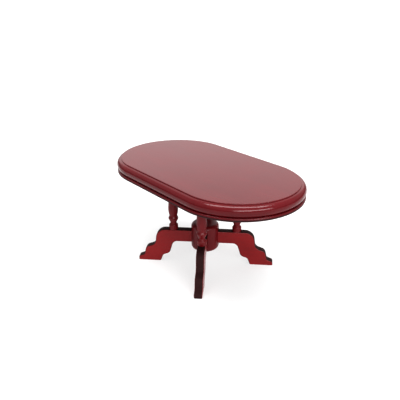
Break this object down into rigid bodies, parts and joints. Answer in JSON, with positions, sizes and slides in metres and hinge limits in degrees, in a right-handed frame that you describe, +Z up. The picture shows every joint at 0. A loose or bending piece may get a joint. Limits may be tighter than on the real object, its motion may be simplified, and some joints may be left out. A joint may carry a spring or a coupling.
{
  "type": "miniature dining table",
  "caption": "Dolls house dining table with a round-ended moulded top on turned balusters and fret-sawn legs that meet in a round hub, in red stained wood.",
  "frame": {"origin": "centre of the table's footprint on the floor, at the height of the soles of the feet", "axes": "+X along the length of the top, +Y across it, +Z up; the legs stand at 45 degrees between the axes"},
  "size_m": [0.132, 0.074, 0.064],
  "materials": {
    "top_wood": "semi-gloss lacquer over red mahogany stain",
    "base_wood": "semi-gloss lacquer over red mahogany stain, darker on the sawn edges"
  },
  "bodies": {
    "root": {"top_board": "top_wood", "under_board": "top_wood", "hub": "base_wood", "leg_front_right": "base_wood", "baluster_front_right": "base_wood", "leg_back_right": "base_wood", "baluster_back_right": "base_wood", "leg_back_left": "base_wood", "baluster_back_left": "base_wood", "leg_front_left": "base_wood", "baluster_front_left": "base_wood"}
  },
  "joints": []
}
